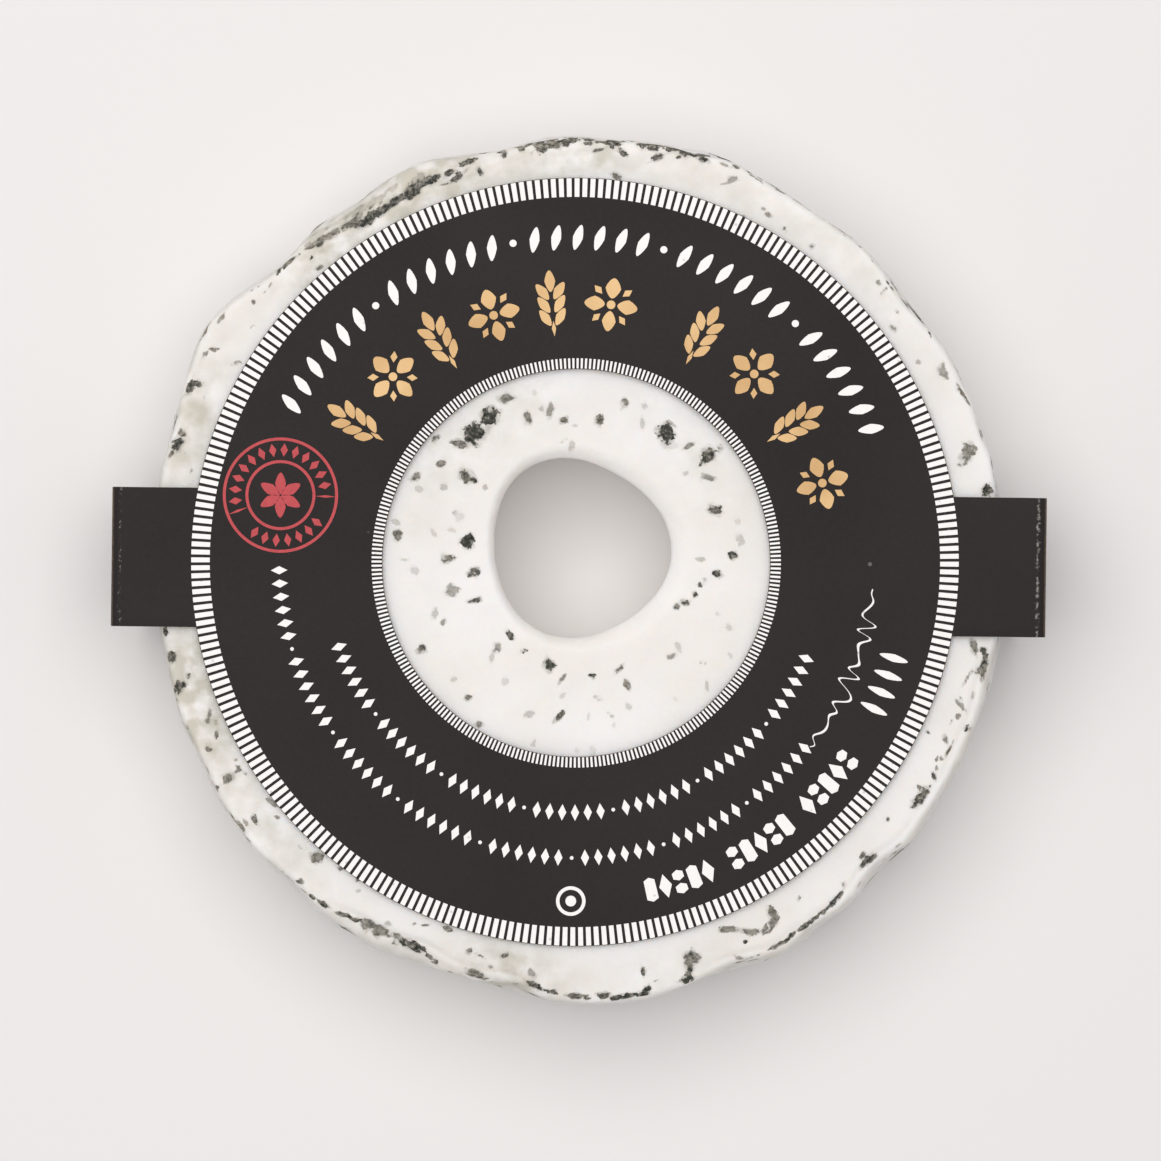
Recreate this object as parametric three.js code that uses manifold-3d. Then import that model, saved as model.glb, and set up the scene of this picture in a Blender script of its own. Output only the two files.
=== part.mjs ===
// A soft goat cheese wheel: a ring of white cheese with a folded, ash-dusted rind, and the card label that lies on it.
// Millimetres, +Z up. The origin is on the table under the middle of the wheel, and +Y is the top of the label.
import * as THREE from "three";
import { mergeVertices } from "three/addons/utils/BufferGeometryUtils.js";
import Module from "manifold-3d";

// Driving dimensions of the wheel
const WHEEL_RADIUS = 50;
const WHEEL_HEIGHT = 20;
const HOLE_RADIUS = 10.7; // at the foot
const HOLE_OFFSET = new THREE.Vector2(0.3, 2.6); // the hole is off the wheel's middle
const HOLE_TUCK = 0.5; // how much narrower the hole is under its lip
const SIDE_BULGE = 0.6;
const FOOT_ROUND = 3.2;
const HOLE_FOOT_ROUND = 0.9;
const LIP = { width: 1.9, wider: 0.9, widestAt: 5, drop: 1.1 }; // the soft edge of the hole, wider on one side
const EDGE_WIDTH = 0.8; // the plain shoulder between top and side
const EDGE_DROP = 1.6;
const BRIM_SAG = 0.35; // how far the top falls from the label's edge to the shoulder
const MIDDLE_SAG = 0.3; // and towards the hole
const BRIM_START = 43;
const MIDDLE_START = 25;

// Driving dimensions of the card label
const CARD = 0.45; // thickness
const CARD_GAP = 0.1; // between the cheese's highest points and the card
const LABEL_CENTRE = new THREE.Vector2(-0.47, 0.9);
const LABEL_TURN = -0.7; // degrees, as it lies a little askew
const LABEL_RADIUS = 44.1;
const WINDOW_RADIUS = 22.25;
const WINDOW_OFFSET = new THREE.Vector2(0.15, -0.1);
const STRAP_WIDTH = 16;
const STRAP_REACH = { left: 53.25, right: 54.15 }; // from the label's centre to the outside of each fold
const FOLD_RADIUS = 1.1; // outside of the crease
const FLAP_LENGTH = 16.5; // from the top of the card to the flap's end
const FLAP_LEAN = 4; // degrees inwards
const FLAP_CORNER = 2;

// Swellings and hollows of the outline: place round the wheel and half-width in degrees, and millimetres outwards
const SWELLINGS = [
  { at: 3, half: 10, out: -0.7 },
  { at: 26, half: 4, out: -0.35 },
  { at: 39, half: 6, out: -0.7 },
  { at: 59, half: 5, out: -0.6 },
  { at: 71, half: 6, out: 0.7 },
  { at: 100, half: 5, out: -0.5 },
  { at: 112, half: 6, out: 0.7 },
  { at: 135, half: 4, out: -0.8 },
  { at: 149, half: 10, out: 1.6 },
  { at: 195, half: 16, out: -0.75 },
  { at: 228, half: 6, out: -0.75 },
  { at: 240, half: 4, out: 0.3 },
  { at: 254, half: 9, out: -1 },
  { at: 262, half: 3, out: -0.3 },
  { at: 272, half: 5, out: 0.4 },
  { at: 287, half: 5, out: -0.7 },
  { at: 297, half: 4, out: 0.5 },
  { at: 315, half: 4, out: -0.75 },
  { at: 335, half: 5, out: -0.2 },
];
const SQUEEZE = 0.25; // the wheel is that much narrower across the straps, and wider the other way
// Where the top's skin folds over the side: a crease, with a sloping shelf outside it
const CREASES = [
  { from: 107, to: 125, fade: 9, shelf: 1.5, drop: 2.2, depth: 0.65 },
  { from: 239, to: 247, fade: 9, shelf: 1.4, drop: 2, depth: 0.5 },
  { from: 256, to: 263, fade: 6, shelf: 0.4, drop: 1, depth: 0.3 },
  { from: 292, to: 346, fade: 6, shelf: 0.35, drop: 1.5, depth: 0.3 },
];
const CREASE_HALF_WIDTH = 0.5;
const CREASE_INSET = 0.2; // from the shoulder's inner edge
// Lumps of the side: millimetres, waves round the wheel, phase, and twist for each millimetre of height
const LUMPS = [
  { size: 0.09, waves: 8, phase: 2.1, twist: -0.09 },
  { size: 0.1, waves: 13, phase: 4.4, twist: 0.14 },
  { size: 0.1, waves: 21, phase: 1.3, twist: -0.2 },
  { size: 0.08, waves: 33, phase: 0.2, twist: 0.3 },
];
// Dimples of the top: millimetres, waves round and phase, and turns for each millimetre of radius
const DIMPLES = [
  { size: 0.11, waves: 3, phase: 1.0, turn: 0.21 },
  { size: 0.1, waves: 7, phase: 3.3, turn: -0.33 },
  { size: 0.07, waves: 12, phase: 5.1, turn: 0.52 },
];
// The hole's outline is a soft triangle: millimetres, waves round, and degrees where it is widest
const HOLE_WAVES = [
  { size: 0.48, waves: 3, at: 122 },
  { size: 0.24, waves: 2, at: 135 },
  { size: 0.35, waves: 1, at: 200 },
];

// How finely the wheel is made: sections round it, and steps in each stretch of a section
const SECTIONS = 140;
const STEPS = {
  foot: 2,
  footEdge: 4,
  side: 6,
  shoulder: 7,
  brim: 6,
  top: 4,
  middle: 4,
  lip: 5,
  wall: 2,
  holeFoot: 2,
};
const LABEL_SEGMENTS = 96;

const RIND = new THREE.MeshStandardMaterial({ color: 0xf0eae7, roughness: 0.6, metalness: 0 });
const BLACK_CARD = new THREE.MeshStandardMaterial({ color: 0x353130, roughness: 0.5, metalness: 0 });

const radians = THREE.MathUtils.degToRad;
const smooth = (value, low, high) => THREE.MathUtils.smoothstep(value, low, high);

// The least turn between two angles in degrees
function apart(a, b) {
  const turn = Math.abs(a - b) % 360;
  return Math.min(turn, 360 - turn);
}

// 1 along a crease, fading to 0 past its ends
function along({ from, to, fade }, angle) {
  return smooth(angle, from - fade, from) * (1 - smooth(angle, to, to + fade));
}

function creaseSum(angle, key) {
  return CREASES.reduce((sum, crease) => sum + crease[key] * along(crease, angle), 0);
}

function sideRadius(angle, height) {
  const swell = SWELLINGS.reduce((sum, s) => sum + s.out * Math.exp(-((apart(angle, s.at) / s.half) ** 2)), 0);
  const lumps = LUMPS.reduce(
    (sum, l) => sum + l.size * Math.sin(l.waves * radians(angle) + l.phase + l.twist * height),
    0,
  );
  return WHEEL_RADIUS - SQUEEZE * Math.cos(2 * radians(angle)) + swell + lumps;
}

function holeRadius(angle) {
  return HOLE_WAVES.reduce((sum, w) => sum + w.size * Math.cos(w.waves * radians(angle - w.at)), HOLE_RADIUS);
}

// Height of the top, apart from the lip round the hole
function topHeight(angle, radius, shoulder) {
  const dimples = DIMPLES.reduce(
    (sum, d) => sum + (d.size * (1 + Math.sin(d.waves * radians(angle) + d.phase + d.turn * radius))) / 2,
    0,
  );
  const brim = BRIM_SAG * smooth(radius, BRIM_START, shoulder);
  const middle = MIDDLE_SAG * (1 - smooth(radius, HOLE_RADIUS + LIP.width, MIDDLE_START));
  const offCrease = (radius - (shoulder - CREASE_INSET)) / CREASE_HALF_WIDTH;
  const crease = creaseSum(angle, "depth") * Math.exp(-(offCrease ** 2));
  return WHEEL_HEIGHT - dimples - brim - middle - crease;
}

// One cut through the ring, as [radius, height] points: out along the foot, up the side, in over the top, down the hole
function section(angle) {
  const quarter = Math.PI / 2;
  const width = EDGE_WIDTH + creaseSum(angle, "shelf");
  const drop = EDGE_DROP + creaseSum(angle, "drop");
  const shoulderFoot = WHEEL_HEIGHT - drop;
  const shoulder = sideRadius(angle, WHEEL_HEIGHT) - SIDE_BULGE - width;
  const hole = holeRadius(angle);
  const lipWidth = LIP.width + LIP.wider * Math.cos(radians(angle - LIP.widestAt));
  const lip = hole - HOLE_TUCK + lipWidth;
  const mix = THREE.MathUtils.lerp;
  const top = (radius) => [radius, topHeight(angle, radius, shoulder)];
  const stretches = {
    foot: (t) => [mix(hole + HOLE_FOOT_ROUND, sideRadius(angle, 0) - SIDE_BULGE - FOOT_ROUND, t), 0],
    footEdge: (t) => {
      const height = FOOT_ROUND * (1 - Math.cos(t * quarter));
      return [sideRadius(angle, height) - SIDE_BULGE - FOOT_ROUND * (1 - Math.sin(t * quarter)), height];
    },
    side: (t) => {
      const height = mix(FOOT_ROUND, shoulderFoot, t);
      return [sideRadius(angle, height) - SIDE_BULGE * (1 - Math.sin(t * Math.PI)), height];
    },
    shoulder: (t) => {
      const height = mix(shoulderFoot, topHeight(angle, shoulder, shoulder), Math.sin(t * quarter));
      return [sideRadius(angle, height) - SIDE_BULGE - width * (1 - Math.cos(t * quarter)), height];
    },
    brim: (t) => top(mix(shoulder, BRIM_START, t)),
    top: (t) => top(mix(BRIM_START, MIDDLE_START, t)),
    middle: (t) => top(mix(MIDDLE_START, lip, t)),
    lip: (t) => [lip - lipWidth * t, topHeight(angle, lip, shoulder) - LIP.drop * t * t],
    wall: (t) => [
      mix(hole - HOLE_TUCK, hole, t),
      mix(topHeight(angle, lip, shoulder) - LIP.drop, HOLE_FOOT_ROUND, t),
    ],
    holeFoot: (t) => [
      hole + HOLE_FOOT_ROUND * (1 - Math.cos(t * quarter)),
      HOLE_FOOT_ROUND * (1 - Math.sin(t * quarter)),
    ],
  };
  return Object.entries(STEPS).flatMap(([name, steps]) =>
    Array.from({ length: steps }, (_, i) => stretches[name](i / steps)),
  );
}

function wheelGeometry() {
  const positions = [];
  for (let i = 0; i < SECTIONS; i++) {
    const angle = (360 * i) / SECTIONS;
    for (const [radius, height] of section(angle)) {
      const share = 1 - smooth(radius, HOLE_RADIUS + LIP.width, MIDDLE_START);
      positions.push(
        HOLE_OFFSET.x * share + radius * Math.cos(radians(angle)),
        HOLE_OFFSET.y * share + radius * Math.sin(radians(angle)),
        height,
      );
    }
  }
  const points = positions.length / 3 / SECTIONS;
  const index = [];
  for (let i = 0; i < SECTIONS; i++) {
    for (let j = 0; j < points; j++) {
      const [here, next] = [i * points, ((i + 1) % SECTIONS) * points];
      const [low, high] = [j, (j + 1) % points];
      index.push(here + low, next + low, next + high, here + low, next + high, here + high);
    }
  }
  return new THREE.BufferGeometry()
    .setAttribute("position", new THREE.Float32BufferAttribute(positions, 3))
    .setIndex(index);
}

// The flat of the label: a disc, with the two straps from its sides and the window cut out
function flatShape() {
  const shape = new THREE.Shape();
  const half = STRAP_WIDTH / 2;
  const meets = Math.asin(half / LABEL_RADIUS);
  shape.absarc(0, 0, LABEL_RADIUS, meets, Math.PI - meets, false);
  shape.lineTo(-(STRAP_REACH.left - FOLD_RADIUS), half);
  shape.lineTo(-(STRAP_REACH.left - FOLD_RADIUS), -half);
  shape.absarc(0, 0, LABEL_RADIUS, Math.PI + meets, 2 * Math.PI - meets, false);
  shape.lineTo(STRAP_REACH.right - FOLD_RADIUS, -half);
  shape.lineTo(STRAP_REACH.right - FOLD_RADIUS, half);
  shape.closePath();
  shape.holes.push(new THREE.Path().absarc(WINDOW_OFFSET.x, WINDOW_OFFSET.y, WINDOW_RADIUS, 0, 2 * Math.PI, true));
  return shape;
}

// A strap's end seen from its long edge: the fold, and the flap that leans in under it
function foldGeometry() {
  const fold = new THREE.Shape();
  const lean = radians(FLAP_LEAN);
  fold.absarc(0, 0, FOLD_RADIUS, Math.PI / 2, -lean, true);
  fold.absarc(0, 0, FOLD_RADIUS - CARD, -lean, Math.PI / 2, false);
  return new THREE.ExtrudeGeometry(fold, { depth: STRAP_WIDTH, bevelEnabled: false, curveSegments: 8 })
    .translate(0, 0, -STRAP_WIDTH / 2)
    .rotateX(Math.PI / 2);
}

function flapGeometry() {
  const flap = new THREE.Shape();
  const half = STRAP_WIDTH / 2;
  const length = FLAP_LENGTH - FOLD_RADIUS;
  flap.moveTo(-half, 0);
  flap.lineTo(-half, FLAP_CORNER - length);
  flap.absarc(FLAP_CORNER - half, FLAP_CORNER - length, FLAP_CORNER, Math.PI, 1.5 * Math.PI, false);
  flap.absarc(half - FLAP_CORNER, FLAP_CORNER - length, FLAP_CORNER, 1.5 * Math.PI, 2 * Math.PI, false);
  flap.lineTo(half, 0);
  flap.closePath();
  return new THREE.ExtrudeGeometry(flap, { depth: CARD, bevelEnabled: false, curveSegments: 5 })
    .rotateX(Math.PI / 2)
    .rotateZ(Math.PI / 2)
    .translate(FOLD_RADIUS - CARD, 0, 0)
    .rotateY(radians(FLAP_LEAN));
}

const wasm = await Module();
wasm.setup();

function solidOf(geometry) {
  const bare = (geometry.index ? geometry.toNonIndexed() : geometry.clone()).deleteAttribute("normal");
  const merged = mergeVertices(bare.deleteAttribute("uv"), 1e-4);
  return new wasm.Manifold(
    new wasm.Mesh({
      numProp: 3,
      vertProperties: merged.attributes.position.array,
      triVerts: new Uint32Array(merged.index.array),
    }),
  );
}

function geometryOf(solid) {
  const { numProp, numVert, vertProperties, triVerts } = solid.getMesh();
  const positions = new Float32Array(numVert * 3);
  for (let i = 0; i < numVert; i++) {
    positions.set(vertProperties.subarray(i * numProp, i * numProp + 3), i * 3);
  }
  return new THREE.BufferGeometry()
    .setAttribute("position", new THREE.BufferAttribute(positions, 3))
    .setIndex(new THREE.BufferAttribute(triVerts, 1));
}

// The whole label, with the top of the card at height 0 and its own centre at the origin
function labelGeometry() {
  const flat = new THREE.ExtrudeGeometry(flatShape(), {
    depth: CARD,
    bevelEnabled: false,
    curveSegments: LABEL_SEGMENTS / 2,
  }).translate(0, 0, -CARD);
  const end = (geometry) => geometry.translate(0, 0, -FOLD_RADIUS);
  const place = {
    right: (geometry) => end(geometry).translate(STRAP_REACH.right - FOLD_RADIUS, 0, 0),
    left: (geometry) => end(geometry).rotateZ(Math.PI).translate(-(STRAP_REACH.left - FOLD_RADIUS), 0, 0),
  };
  let whole = solidOf(flat);
  for (const side of ["left", "right"]) {
    whole = whole.add(solidOf(place[side](foldGeometry()))).add(solidOf(place[side](flapGeometry())));
  }
  return geometryOf(whole);
}

const part = new THREE.Group();

const wheel = new THREE.Mesh(wheelGeometry(), RIND);
wheel.name = "goat_cheese_ring";
part.add(wheel);

const label = new THREE.Mesh(labelGeometry(), BLACK_CARD);
label.name = "card_label";
label.position.set(LABEL_CENTRE.x, LABEL_CENTRE.y, WHEEL_HEIGHT + CARD_GAP + CARD);
label.rotation.z = radians(LABEL_TURN);
part.add(label);

export default part;
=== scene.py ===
"""The looks of a soft goat cheese wheel: its folded, ash-flecked rind and the printed black card label on it.

Sizes are millimetres about the wheel's middle on the table, until a mesh is written in metres.
Angles are degrees, anticlockwise from +X as seen from above.
"""
import math
import random

import bmesh
import bpy
import numpy as np
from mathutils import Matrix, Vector, noise


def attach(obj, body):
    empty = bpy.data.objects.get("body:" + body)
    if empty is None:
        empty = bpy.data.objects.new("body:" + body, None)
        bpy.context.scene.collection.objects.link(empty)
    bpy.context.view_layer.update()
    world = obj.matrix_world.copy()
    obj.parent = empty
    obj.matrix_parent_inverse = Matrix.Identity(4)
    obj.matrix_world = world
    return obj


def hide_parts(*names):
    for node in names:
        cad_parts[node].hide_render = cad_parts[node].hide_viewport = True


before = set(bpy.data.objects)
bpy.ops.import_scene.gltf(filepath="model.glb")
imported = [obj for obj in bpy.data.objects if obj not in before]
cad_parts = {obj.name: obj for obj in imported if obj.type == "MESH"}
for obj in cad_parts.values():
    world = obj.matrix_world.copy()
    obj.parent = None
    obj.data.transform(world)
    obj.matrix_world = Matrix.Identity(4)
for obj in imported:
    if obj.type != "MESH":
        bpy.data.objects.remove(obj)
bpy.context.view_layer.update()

MM = 0.001

# The wheel's driving sizes
WHEEL_RADIUS = 50.0
WHEEL_HEIGHT = 20.0
HOLE_RADIUS = 10.7
HOLE_OFFSET = (0.3, 2.6)
HOLE_TUCK = 0.5
SIDE_BULGE = 0.6
FOOT_ROUND = 3.2
HOLE_FOOT_ROUND = 0.9
LIP_WIDTH = 1.9
LIP_WIDER = 0.9
LIP_WIDEST_AT = 5
LIP_DROP = 1.1
EDGE_WIDTH = 0.8
EDGE_DROP = 1.6
BRIM_SAG = 0.35
MIDDLE_SAG = 0.3
BRIM_START = 43.0
MIDDLE_START = 25.0
SQUEEZE = 0.25

# Swellings and hollows of the outline: place, half-width, and how far out
SWELLINGS = (
    (3, 10, -0.7), (26, 4, -0.35), (39, 6, -0.7), (59, 5, -0.6), (71, 6, 0.7), (100, 5, -0.5), (112, 6, 0.7),
    (135, 4, -0.8), (149, 10, 1.6), (195, 16, -0.75), (228, 6, -0.75), (240, 4, 0.3), (254, 9, -1.0),
    (262, 3, -0.3), (272, 5, 0.4), (287, 5, -0.7), (297, 4, 0.5), (315, 4, -0.75), (335, 5, -0.2),
)
# Creases where the top's skin folds over the side: start, end, fade, the shelf's width and drop, and depth
CREASES = (
    (107, 125, 9, 1.5, 2.2, 0.65), (239, 247, 9, 1.4, 2.0, 0.5),
    (256, 263, 6, 0.4, 1.0, 0.3), (292, 346, 6, 0.35, 1.5, 0.3),
)
SHELF, DROP, DEPTH = 3, 4, 5
CREASE_HALF_WIDTH = 0.5
CREASE_INSET = 0.2
# Lumps of the side: size, waves round the wheel, phase, and twist for each millimetre of height
LUMPS = ((0.09, 8, 2.1, -0.09), (0.1, 13, 4.4, 0.14), (0.1, 21, 1.3, -0.2), (0.08, 33, 0.2, 0.3))
# Dimples of the top: size, waves round, phase, and turns for each millimetre of radius
DIMPLES = ((0.11, 3, 1.0, 0.21), (0.1, 7, 3.3, -0.33), (0.07, 12, 5.1, 0.52))
# The hole's soft triangle: size, waves round, and where it is widest
HOLE_WAVES = ((0.48, 3, 122), (0.24, 2, 135), (0.35, 1, 200))

# The label's driving sizes
CARD = 0.45
CARD_GAP = 0.1
LABEL_CENTRE = (-0.47, 0.9)
LABEL_TURN = -0.7
LABEL_RADIUS = 44.1
WINDOW_RADIUS = 22.25
WINDOW_OFFSET = (0.15, -0.1)
STRAP_WIDTH = 16.0
STRAP_REACH = {"left": 53.25, "right": 54.15}
FOLD_RADIUS = 1.1
FLAP_LENGTH = 16.5
FLAP_LEAN = 4.0
FLAP_CORNER = 2.0

# How finely the rind is made: cuts round the wheel, and steps along each stretch of a cut
CUTS = 720
STEPS = {
    "foot": 5, "foot_edge": 8, "side": 26, "shoulder": 12, "brim": 26,
    "top": 5, "middle": 32, "lip": 10, "wall": 8, "hole_foot": 4,
}
FINE_BRIM_START = 42.0


def smooth(value, low, high):
    t = min(1.0, max(0.0, (value - low) / (high - low)))
    return t * t * (3 - 2 * t)


def mix(a, b, t):
    return a + (b - a) * t


def apart(a, b):
    """The least turn between two angles."""
    turn = abs(a - b) % 360
    return min(turn, 360 - turn)


def hill(distance, half_width):
    return math.exp(-((distance / half_width) ** 2))


def polar(angle, radius):
    return radius * math.cos(math.radians(angle)), radius * math.sin(math.radians(angle))


# The rind's form

def along(crease, angle):
    """1 along a crease, fading to 0 past its ends."""
    start, end, fade = crease[:3]
    return smooth(angle, start - fade, start) * (1 - smooth(angle, end, end + fade))


def crease_sum(angle, column):
    return sum(crease[column] * along(crease, angle) for crease in CREASES)


def side_radius(angle, height):
    swell = sum(out * hill(apart(angle, at), half) for at, half, out in SWELLINGS)
    turn = math.radians(angle)
    lumps = sum(size * math.sin(waves * turn + phase + twist * height)
                for size, waves, phase, twist in LUMPS)
    return WHEEL_RADIUS - SQUEEZE * math.cos(2 * turn) + swell + lumps


def hole_radius(angle):
    return HOLE_RADIUS + sum(size * math.cos(waves * math.radians(angle - at))
                             for size, waves, at in HOLE_WAVES)


def top_height(angle, radius, shoulder):
    turn = math.radians(angle)
    dimples = sum(size * (1 + math.sin(waves * turn + phase + turns * radius)) / 2
                  for size, waves, phase, turns in DIMPLES)
    brim = BRIM_SAG * smooth(radius, BRIM_START, shoulder)
    middle = MIDDLE_SAG * (1 - smooth(radius, HOLE_RADIUS + LIP_WIDTH, MIDDLE_START))
    crease = crease_sum(angle, DEPTH) * hill(radius - (shoulder - CREASE_INSET), CREASE_HALF_WIDTH)
    return WHEEL_HEIGHT - dimples - brim - middle - crease


def shoulder_radius(angle):
    """Where the top ends and the rounding down to the side begins."""
    return side_radius(angle, WHEEL_HEIGHT) - SIDE_BULGE - EDGE_WIDTH - crease_sum(angle, SHELF)


def near_shoulder(angle, radius):
    """The place at a radius on the brim or, past it, on the rounded shoulder."""
    width = EDGE_WIDTH + crease_sum(angle, SHELF)
    shoulder = shoulder_radius(angle)
    height = top_height(angle, min(radius, shoulder), shoulder)
    if radius > shoulder:
        foot = WHEEL_HEIGHT - EDGE_DROP - crease_sum(angle, DROP)
        height = mix(foot, height, math.sqrt(1 - min(1, (radius - shoulder) / width) ** 2))
    return Vector((*polar(angle, radius), height))


def cut(angle):
    """One cut through the ring: out along the foot, up the side, in over the top and down the hole."""
    quarter = math.pi / 2
    width = EDGE_WIDTH + crease_sum(angle, SHELF)
    shoulder_foot = WHEEL_HEIGHT - EDGE_DROP - crease_sum(angle, DROP)
    shoulder = shoulder_radius(angle)
    shoulder_top = top_height(angle, shoulder, shoulder)
    hole = hole_radius(angle)
    lip_width = LIP_WIDTH + LIP_WIDER * math.cos(math.radians(angle - LIP_WIDEST_AT))
    lip = hole - HOLE_TUCK + lip_width
    lip_top = top_height(angle, lip, shoulder)
    foot_end = side_radius(angle, 0) - SIDE_BULGE - FOOT_ROUND

    def foot(t):
        return mix(hole + HOLE_FOOT_ROUND, foot_end, t), 0

    def foot_edge(t):
        height = FOOT_ROUND * (1 - math.cos(t * quarter))
        return side_radius(angle, height) - SIDE_BULGE - FOOT_ROUND * (1 - math.sin(t * quarter)), height

    def side(t):
        height = mix(FOOT_ROUND, shoulder_foot, t)
        return side_radius(angle, height) - SIDE_BULGE * (1 - math.sin(t * math.pi)), height

    def rounding(t):
        height = mix(shoulder_foot, shoulder_top, math.sin(t * quarter))
        return side_radius(angle, height) - SIDE_BULGE - width * (1 - math.cos(t * quarter)), height

    def over(start, end):
        return lambda t: (mix(start, end, t), top_height(angle, mix(start, end, t), shoulder))

    def into_hole(t):
        return lip - lip_width * t, lip_top - LIP_DROP * t * t

    def wall(t):
        return mix(hole - HOLE_TUCK, hole, t), mix(lip_top - LIP_DROP, HOLE_FOOT_ROUND, t)

    def hole_foot(t):
        turned = t * quarter
        return hole + HOLE_FOOT_ROUND * (1 - math.cos(turned)), HOLE_FOOT_ROUND * (1 - math.sin(turned))

    stretches = {
        "foot": foot, "foot_edge": foot_edge, "side": side, "shoulder": rounding,
        "brim": over(shoulder, FINE_BRIM_START), "top": over(FINE_BRIM_START, MIDDLE_START),
        "middle": over(MIDDLE_START, lip), "lip": into_hole, "wall": wall, "hole_foot": hole_foot,
    }
    return [stretches[name](i / steps) for name, steps in STEPS.items() for i in range(steps)]


# Where the ash lies

# Flecks seen in the label's window: x and y, length, width, turn, and darkness from 0 to 1
WINDOW_FLECKS = (
    (-10.4, 17.6, 2.0, 1.8, 60, 1.0), (-12.0, 15.8, 2.5, 2.0, 115, 1.0), (-13.6, 14.5, 2.1, 0.8, 165, 0.75),
    (-8.2, 19.7, 1.8, 1.0, 10, 0.6), (-5.9, 17.6, 1.3, 0.9, 100, 0.65), (-1.7, 17.2, 1.2, 0.8, 20, 0.7),
    (2.4, 17.2, 1.1, 0.8, 60, 0.7), (-3.3, 18.5, 1.6, 0.8, 80, 0.45), (5.2, 19.2, 1.2, 0.9, 60, 0.6),
    (10.0, 15.9, 2.1, 1.7, 100, 1.0), (12.6, 14.2, 1.2, 0.5, 25, 0.5), (14.8, 13.1, 2.2, 1.2, 60, 0.9),
    (15.0, 10.6, 1.3, 0.6, 160, 0.5), (15.5, 6.9, 1.6, 1.1, 0, 0.85), (15.8, -0.4, 1.1, 1.0, 0, 0.95),
    (17.7, 1.7, 1.1, 1.0, 40, 0.95), (13.9, -1.7, 0.7, 0.6, 0, 0.8), (13.4, -2.9, 0.8, 0.6, 60, 0.8),
    (12.2, -3.8, 0.9, 0.7, 0, 0.8), (11.3, -4.2, 0.9, 0.6, 70, 0.7), (-13.0, 10.7, 1.6, 1.3, 100, 0.75),
    (-12.1, 10.3, 0.9, 0.8, 0, 0.85), (-12.7, 3.4, 1.6, 1.5, 70, 1.0), (-15.2, 1.2, 1.5, 0.9, 10, 0.7),
    (-12.1, -0.3, 1.5, 0.9, 40, 0.75), (-14.5, -2.4, 1.6, 1.4, 160, 0.42), (-11.9, -3.5, 1.3, 0.6, 15, 0.85),
    (-18.7, 10.7, 1.3, 0.9, 30, 0.6), (-16.0, 12.2, 1.1, 0.8, 0, 0.65), (-16.4, 15.1, 1.0, 0.6, 50, 0.6),
    (-20.8, 4.1, 1.2, 0.9, 90, 0.7), (-18.0, -9.0, 1.2, 1.0, 20, 0.95), (-7.9, -7.6, 1.4, 0.6, 135, 0.9),
    (-6.2, -9.3, 0.7, 0.5, 0, 0.8), (-9.4, -8.9, 1.1, 0.8, 60, 0.5), (-3.3, -10.9, 1.6, 1.3, 120, 0.95),
    (1.5, -12.2, 0.9, 0.7, 150, 0.9), (4.7, -11.4, 1.4, 0.5, 50, 0.65), (5.5, -13.2, 1.3, 0.8, 125, 0.6),
    (-2.0, -12.6, 1.3, 0.4, 50, 0.5), (10.5, -10.0, 1.0, 0.6, 20, 0.42), (-2.3, -16.9, 1.9, 0.6, 50, 0.7),
    (-12.7, -14.7, 1.0, 0.8, 30, 0.6), (-11.4, -17.8, 0.9, 0.7, 0, 0.65), (-15.6, -6.0, 0.9, 0.7, 60, 0.45),
)
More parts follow.
